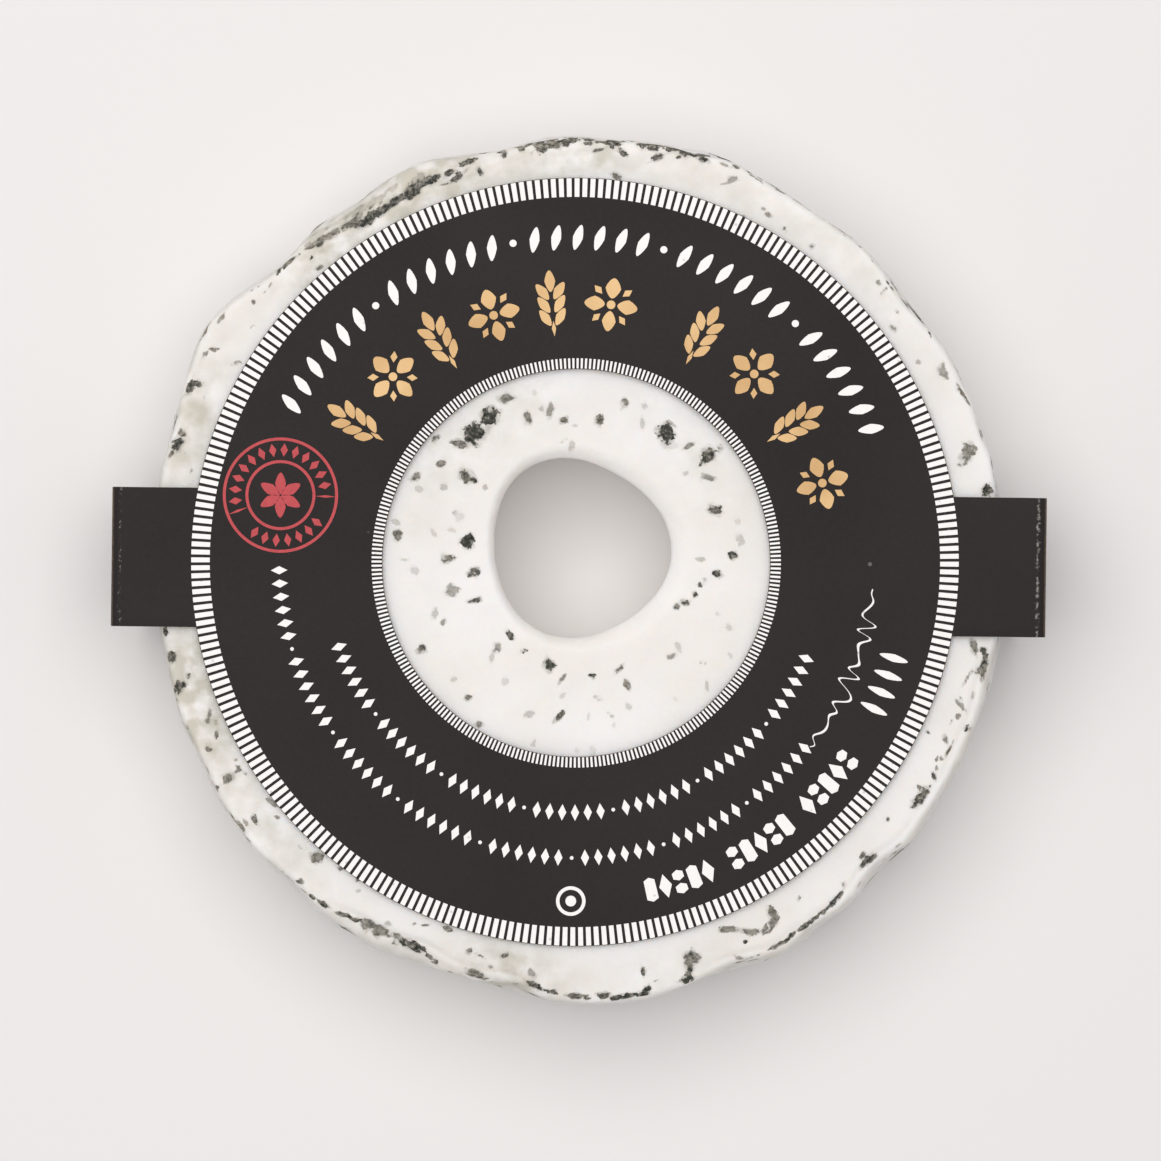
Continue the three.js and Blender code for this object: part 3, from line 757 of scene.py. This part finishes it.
def row_places(start, end, groups, marks):
    """Angles of evenly spaced marks in groups, and of the gaps between the groups."""
    slots = groups * (marks + 1) - 1
    step = (end - start) / slots
    at = [start + step * (i + 0.5) for i in range(slots)]
    full = [angle for i, angle in enumerate(at) if i % (marks + 1) != marks]
    gaps = [angle for i, angle in enumerate(at) if i % (marks + 1) == marks]
    return full, gaps


def white_outlines():
    """Rows of leaves, lozenges and blocks that follow the label round."""
    outlines = []
    leaves, gaps = row_places(153.5, 23, 5, 6)
    outlines += [wrapped(placed(leaf(3.0, 1.15), turn=-16), angle, LEAF_ROW) for angle in leaves]
    outlines += [wrapped(disc(0.42, 12), angle, LEAF_ROW) for angle in gaps]
    for radius, start, end, groups in zip(LOZENGE_ROWS, (199, 181), (339.5, 323), (7, 8)):
        marks, gaps = row_places(start, end, groups, 6)
        outlines += [wrapped(lozenge(1.9, 0.95), angle, radius) for angle in marks]
        outlines += [wrapped(disc(0.22, 10), angle, radius) for angle in gaps]
    tiles, _ = row_places(282.5, 326, 3, 5)
    halves = [placed(block(1.25, 1.3), 0, up) for up in (-0.78, 0.78)]
    kinds = ([block(2.8, 1.3)], [lozenge(2.8, 1.5)], halves)
    for i, angle in enumerate(tiles):
        outlines += [wrapped(shape, angle, TILE_ROW) for shape in kinds[i % 3]]
    slim, _ = row_places(333, 345.5, 1, 4)
    outlines += [wrapped(leaf(3.4, 0.9), angle, SLIM_ROW) for angle in slim]
    outlines.append(wrapped(disc(0.62), 270, MARK_ROW))
    return outlines


def flourish(start, end, radius, waves, steps=220):
    """A thin wavy pen line with tapering ends, whose waves grow and shrink."""
    upper, lower = [], []
    for i in range(steps + 1):
        t = i / steps
        taper = math.sin(math.pi * t) ** 0.5
        turn = 2 * math.pi * waves * t + 1.1 * math.sin(2 * math.pi * 4 * t)
        height = 0.6 + 0.4 * math.cos(2 * math.pi * 2.5 * t)
        middle = radius + 1.25 * taper * height * math.sin(turn)
        half = 0.05 + 0.17 * taper * (0.6 + 0.4 * math.cos(turn))
        angle = mix(start, end, t)
        lower.append(polar(angle, middle - half))
        upper.append(polar(angle, middle + half))
    return upper + lower[::-1]


def white_bands():
    """The circle round the dot at the label's foot."""
    centre = polar(270, MARK_ROW)
    outer, inner = (placed(disc(radius, 36), *centre) for radius in (1.7, 1.3))
    return [(outer, inner)]


def gold_outlines():
    """An arch of ornaments, six and then four: by turns an ear of grain and a flower."""
    ear = [placed(leaf(2.5, 1.15), 0, 2.55), placed(lozenge(1.8, 0.55), 0, -2.9)]
    for side in (-1, 1):
        ear += [placed(leaf(2.25, 1.1), 0.9 * side, up, -32 * side) for up in (-1.6, -0.1, 1.4)]
    flower = [disc(0.5, 16)]
    flower += [placed(leaf(2.35, 1.7), *polar(turn, 1.9), turn - 90) for turn in (0, 90, 180, 270)]
    flower += [placed(lozenge(1.3, 0.8), *polar(turn, 2.25), turn - 90) for turn in (45, 135, 225, 315)]
    places = [mix(148.3, 82.7, i / 5) for i in range(6)] + [mix(61.4, 18.4, i / 3) for i in range(4)]
    return [wrapped(shape, angle, GOLD_ROW)
            for i, angle in enumerate(places) for shape in (flower if i % 2 else ear)]


def red_outlines():
    """A round seal: beads between two circles, two strokes that divide them, and a rosette."""
    shapes = [placed(leaf(2.5, 1.25), *polar(60 * i + 30, 1.35), 60 * i - 60) for i in range(6)]
    for start, end, count in ((13, 188, 13), (236, 324, 7)):
        for angle in even(start, end, count - 1):
            shapes.append(placed(lozenge(1.55, 0.85), *polar(angle, SEAL_BEADS), angle - 90))
    for angle in (201, 359):
        shapes.append(placed(lozenge(2.4, 0.3), *polar(angle, SEAL_BEADS), angle - 90))
    return [placed(shape, *polar(*SEAL_AT)) for shape in shapes]


def red_bands():
    """The seal's two circles."""
    return [[placed(disc(radius + half, 64), *polar(*SEAL_AT)) for half in (0.17, -0.17)]
            for radius in SEAL_CIRCLES]


# Finishes

def linear(red, green, blue):
    """A colour as seen on screen, in the linear numbers that the shader takes."""
    def channel(value):
        c = value / 255
        return c / 12.92 if c <= 0.04045 else ((c + 0.055) / 1.055) ** 2.4
    return (channel(red), channel(green), channel(blue), 1.0)


def add(tree, kind, inputs, **settings):
    """Adds a node. An input is a value, or another node's output to join to it."""
    made = tree.nodes.new(kind)
    for name, value in settings.items():
        setattr(made, name, value)
    for name, value in inputs.items():
        if isinstance(value, bpy.types.NodeSocket):
            tree.links.new(value, made.inputs[name])
        else:
            made.inputs[name].default_value = value
    return made


def arithmetic(tree, operation, first, second=0.0, clamp=False):
    return add(tree, "ShaderNodeMath", {0: first, 1: second}, operation=operation, use_clamp=clamp).outputs[0]


def product(tree, first, second, clamp=False):
    return arithmetic(tree, "MULTIPLY", first, second, clamp)


def total(tree, first, second, clamp=False):
    return arithmetic(tree, "ADD", first, second, clamp)


def blend_colours(tree, share, first, second):
    """The node's sockets 6 and 7 take its two colours, and its output 2 is the blend."""
    return add(tree, "ShaderNodeMix", {0: share, 6: first, 7: second}, data_type="RGBA").outputs[2]


def ranged(tree, value, low, high):
    """A value from 0 to 1, spread from low to high."""
    return add(tree, "ShaderNodeMapRange", {"Value": value, "To Min": low, "To Max": high}).outputs["Result"]


def attribute(tree, name):
    return add(tree, "ShaderNodeAttribute", {}, attribute_name=name).outputs["Fac"]


def new_group(name, inputs, outputs):
    group = bpy.data.node_groups.new(name, "ShaderNodeTree")
    for label, kind, default in inputs:
        socket = group.interface.new_socket(label, in_out="INPUT", socket_type=kind)
        if default is not None:
            socket.default_value = default
    for label, kind in outputs:
        group.interface.new_socket(label, in_out="OUTPUT", socket_type=kind)
    return group, group.nodes.new("NodeGroupInput").outputs, group.nodes.new("NodeGroupOutput").inputs


FLOAT, VECTOR = "NodeSocketFloat", "NodeSocketVector"
CARD_FIBRE = (2600.0, 1.6)  # scale and contrast


def grain_group():
    """Soft uneven grain from 0 to 1, for colour that drifts and for small bumps."""
    group, given, out = new_group(
        "grain",
        [("Vector", VECTOR, None), ("Scale", FLOAT, 100.0), ("Contrast", FLOAT, 1.0)],
        [("Value", FLOAT)])
    cloud = add(group, "ShaderNodeTexNoise",
                {"Vector": given["Vector"], "Scale": given["Scale"], "Detail": 3.0})
    centred = arithmetic(group, "SUBTRACT", cloud.outputs["Fac"], 0.5)
    stretched = product(group, centred, given["Contrast"])
    group.links.new(total(group, stretched, 0.5, clamp=True), out["Value"])
    return group


def ragged_group():
    """Turns a smooth value on the surface into a patch with a torn edge."""
    group, given, out = new_group(
        "ragged patch",
        [("Vector", VECTOR, None), ("Value", FLOAT, 0.0), ("Scale", FLOAT, 1000.0), ("Tear", FLOAT, 0.4),
         ("Low", FLOAT, 0.4), ("High", FLOAT, 0.6)],
        [("Mask", FLOAT)])
    coarse = add(group, "ShaderNodeTexNoise",
                 {"Vector": given["Vector"], "Scale": given["Scale"], "Detail": 4.0, "Roughness": 0.62})
    centred = arithmetic(group, "SUBTRACT", coarse.outputs["Fac"], 0.5)
    value = total(group, given["Value"], product(group, centred, given["Tear"]))
    ramp = add(group, "ShaderNodeMapRange",
               {"Value": value, "From Min": given["Low"], "From Max": given["High"]},
               interpolation_type="SMOOTHSTEP")
    group.links.new(ramp.outputs["Result"], out["Mask"])
    return group


def specks_group():
    """Scattered specks: a share of the cells of a random net hold one each."""
    group, given, out = new_group(
        "specks",
        [("Vector", VECTOR, None), ("Scale", FLOAT, 300.0), ("Share", FLOAT, 0.1), ("Size", FLOAT, 0.25)],
        [("Mask", FLOAT)])
    net = add(group, "ShaderNodeTexVoronoi", {"Vector": given["Vector"], "Scale": given["Scale"]})
    chosen = add(group, "ShaderNodeSeparateColor", {"Color": net.outputs["Color"]}).outputs[0]
    kept = arithmetic(group, "LESS_THAN", chosen, given["Share"])
    inside = add(group, "ShaderNodeMapRange",
                 {"Value": net.outputs["Distance"], "From Min": given["Size"], "From Max": 0.0})
    sharpened = product(group, inside.outputs["Result"], 3.0, clamp=True)
    group.links.new(product(group, kept, sharpened), out["Mask"])
    return group


GROUPS = {"grain": grain_group(), "ragged": ragged_group(), "specks": specks_group()}


def use(tree, name, **inputs):
    """The output of a shared effect with this material's own values."""
    named = {label.title(): value for label, value in inputs.items()}
    return add(tree, "ShaderNodeGroup", named, node_tree=GROUPS[name]).outputs[0]


def grain(tree, place, scale, contrast):
    return use(tree, "grain", vector=place, scale=scale, contrast=contrast)


def ragged(tree, place, value, scale, tear, low, high):
    return use(tree, "ragged", vector=place, value=value, scale=scale, tear=tear, low=low, high=high)


def new_material(name, **uniform):
    """A material with its surface shader, and the place on the object for its patterns."""
    material = bpy.data.materials.new(name)
    material.use_nodes = True
    tree = material.node_tree
    shader = tree.nodes["Principled BSDF"]
    for label, value in uniform.items():
        shader.inputs[label.replace("_", " ").title().replace("Ior", "IOR")].default_value = value
    place = add(tree, "ShaderNodeTexCoord", {}).outputs["Object"]
    return material, tree, shader, place


def bump(tree, shader, height, depth):
    made = add(tree, "ShaderNodeBump", {"Height": height, "Distance": depth * MM, "Strength": 1.0})
    tree.links.new(made.outputs["Normal"], shader.inputs["Normal"])


def rind_finish():
    """White bloomy rind with charcoal-coloured ash in flecks, lines and specks."""
    material, tree, shader, place = new_material(
        "ash_flecked_rind", specular_ior_level=0.15,
        subsurface_weight=0.8, subsurface_radius=(1.0, 0.85, 0.7), subsurface_scale=2.6 * MM)
    ash, soot, patches_and_shade = (attribute(tree, name) for name in ("ash", "soot", "patches_and_shade"))
    core = ragged(tree, place, ash, 1700.0, 1.15, 0.47, 0.57)
    halo = ragged(tree, place, ash, 1000.0, 1.0, 0.22, 0.62)
    thick = ragged(tree, place, soot, 2300.0, 1.6, 0.58, 1.08)
    drift = grain(tree, place, 70.0, 2.4)
    cloud = grain(tree, place, 330.0, 3.0)
    charcoal = grain(tree, place, 1900.0, 2.4)
    fine = grain(tree, place, 900.0, 1.5)
    bloom = blend_colours(tree, drift, linear(233, 228, 223), linear(240, 237, 235))
    # Grey-beige over the window's patches and where shade is painted on the brim and the folded skin
    patched_and_shaded = blend_colours(tree, product(tree, patches_and_shade, cloud), bloom, linear(204, 199, 187))
    opaque = product(tree, soot, 1.6, clamp=True)
    veil = product(tree, product(tree, halo, opaque), 0.4)
    veiled = blend_colours(tree, veil, patched_and_shaded, linear(138, 133, 122))
    dark_ash = blend_colours(tree, charcoal, linear(40, 43, 40), linear(84, 84, 77))
    thin_ash = blend_colours(tree, charcoal, linear(112, 107, 97), linear(172, 167, 157))
    ash_colour = blend_colours(tree, thick, thin_ash, dark_ash)
    covered = product(tree, core, opaque)
    tree.links.new(blend_colours(tree, covered, veiled, ash_colour), shader.inputs["Base Color"])
    tree.links.new(ranged(tree, core, 0.65, 0.9), shader.inputs["Roughness"])
    velvet = total(tree, product(tree, fine, 0.45), product(tree, cloud, 0.8))
    bump(tree, shader, total(tree, velvet, product(tree, core, charcoal)), 0.1)
    return material


def card_face():
    """Charcoal-black printed card with a satin coat, dusty and scuffed white where it folds."""
    material, tree, shader, place = new_material("black_card_face", specular_ior_level=0.1)
    scuffed, bared = (attribute(tree, name) for name in ("scuffed", "bared"))
    drift = grain(tree, place, 45.0, 2.0)
    fibre = grain(tree, place, *CARD_FIBRE)
    dust = use(tree, "specks", vector=place, scale=330.0, share=0.05, size=0.09)
    scuffs = ragged(tree, place, scuffed, 2400.0, 2.0, 1.0, 1.5)
    core = ragged(tree, place, bared, 1500.0, 0.8, 0.6, 1.1)
    black = blend_colours(tree, drift, linear(40, 36, 35), linear(46, 42, 41))
    dusted = blend_colours(tree, product(tree, dust, 0.4), black, linear(150, 146, 140))
    browned = blend_colours(tree, product(tree, core, 0.55), dusted, linear(122, 104, 86))
    whitened = blend_colours(tree, product(tree, scuffs, 0.65), browned, linear(176, 172, 166))
    tree.links.new(whitened, shader.inputs["Base Color"])
    tree.links.new(ranged(tree, fibre, 0.5, 0.65), shader.inputs["Roughness"])
    bump(tree, shader, total(tree, fibre, scuffs), 0.012)
    return material


def two_tone(name, drift, tones, fibre=None, depth=0.0, **uniform):
    """A finish whose colour drifts between two tones, with the relief of a fibre if one is given."""
    material, tree, shader, place = new_material(name, **uniform)
    colour = blend_colours(tree, grain(tree, place, *drift), *(linear(*tone) for tone in tones))
    tree.links.new(colour, shader.inputs["Base Color"])
    if fibre:
        bump(tree, shader, grain(tree, place, *fibre), depth)
    return material


def card_raw_edge():
    """The cut edge, where the card's brown core shows between its printed faces."""
    fibre = (3000.0, 2.4)
    return two_tone("card_raw_edge", fibre, ((70, 60, 50), (128, 114, 96)), fibre, 0.03, roughness=0.85)


def white_ink():
    """Matt white print with a few pinholes."""
    material, tree, shader, place = new_material("white_ink", roughness=0.6)
    fibre = grain(tree, place, *CARD_FIBRE)
    pinholes = use(tree, "specks", vector=place, scale=1500.0, share=0.04, size=0.3)
    white = blend_colours(tree, fibre, linear(238, 234, 230), linear(247, 244, 241))
    holed = blend_colours(tree, product(tree, pinholes, 0.35), white, linear(120, 116, 112))
    tree.links.new(holed, shader.inputs["Base Color"])
    bump(tree, shader, fibre, 0.01)
    return material


def gold_foil():
    """Pressed gold foil with a little metal sheen; its colour drifts at random to a paler tone that is
    painted highlight.
    """
    # The second, paler tone is painted highlight, strewn at random.
    tones = ((186, 148, 98), (208, 172, 122))
    return two_tone("gold_foil", (160.0, 2.6), tones, CARD_FIBRE, 0.012, metallic=0.35, roughness=0.5)


def red_ink():
    """Red print that shows the card's fibre."""
    fibre = (2600.0, 1.8)
    return two_tone("red_ink", fibre, ((174, 48, 55), (194, 60, 66)), fibre, 0.01, roughness=0.55)


def floor_finish():
    return two_tone("pale_floor", (3.0, 1.0), ((229, 226, 224), (232, 229, 227)), roughness=0.8)


# The pieces on their body

def settle(piece, slot, *nodes):
    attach(piece, "root")
    if nodes:
        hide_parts(*nodes)


rind = make_rind()
rind.data.materials.append(rind_finish())
settle(rind, "ash_rind", "goat_cheese_ring")

settle(make_label(), "black_card", "card_label")
white = white_ink()
settle(ink_piece("label_tick_rings", tick_outlines(), INK, white), "black_card")
swash = flourish(-37.5, -4.5, 34.3, 9)
settle(ink_piece("label_white_print", white_outlines() + [swash], INK, white, white_bands()), "black_card")
settle(ink_piece("label_gold_fleurons", gold_outlines(), FOIL, gold_foil()), "black_card")
settle(ink_piece("label_red_seal", red_outlines(), INK, red_ink(), red_bands()), "black_card")


# The studio

FLOOR_SIZE = 6.0
CAMERA_HEIGHT = 0.65
CAMERA_OFFSET = (0.17 * MM, -1.22 * MM)  # the wheel lies a little above the photo's middle
SENSOR = 36.0
PIXELS = 1161
PIXELS_PER_MM_ON_TABLE = 8.44
SOFTBOX_AT = (-0.08, 0.16, 0.8)
SOFTBOX_SIZE = 1.0
SOFTBOX_WATTS = 6.2
SOFTBOX_TINT = (1.0, 0.99, 0.98)
SKY_TINT = (0.96, 0.97, 1.0, 1.0)
SKY_STRENGTH = 0.42


def make_floor():
    plane = bmesh.new()
    bmesh.ops.create_grid(plane, x_segments=8, y_segments=8, size=FLOOR_SIZE / 2)
    floor = new_piece("floor", plane)
    floor.data.materials.append(floor_finish())


def make_softbox():
    """A round light that faces the wheel."""
    lamp = bpy.data.lights.new("softbox", "AREA")
    lamp.shape = "DISK"
    lamp.size = SOFTBOX_SIZE
    lamp.energy = SOFTBOX_WATTS
    lamp.color = SOFTBOX_TINT
    light = bpy.data.objects.new("softbox", lamp)
    light.location = SOFTBOX_AT
    light.rotation_euler = (-Vector(SOFTBOX_AT)).to_track_quat("-Z", "Y").to_euler()
    bpy.context.collection.objects.link(light)


def make_camera():
    lens = bpy.data.cameras.new("camera")
    lens.sensor_width = SENSOR
    lens.lens = PIXELS_PER_MM_ON_TABLE * (CAMERA_HEIGHT / MM) / PIXELS * SENSOR
    lens.clip_start = 0.01
    camera = bpy.data.objects.new("camera", lens)
    camera.location = (*CAMERA_OFFSET, CAMERA_HEIGHT)
    bpy.context.collection.objects.link(camera)
    bpy.context.scene.camera = camera


def make_sky():
    world = bpy.data.worlds.new("studio")
    world.use_nodes = True
    sky = world.node_tree.nodes["Background"]
    sky.inputs["Color"].default_value = SKY_TINT
    sky.inputs["Strength"].default_value = SKY_STRENGTH
    bpy.context.scene.world = world


make_floor()
make_camera()
make_softbox()
make_sky()
bpy.context.scene.view_settings.view_transform = "Standard"
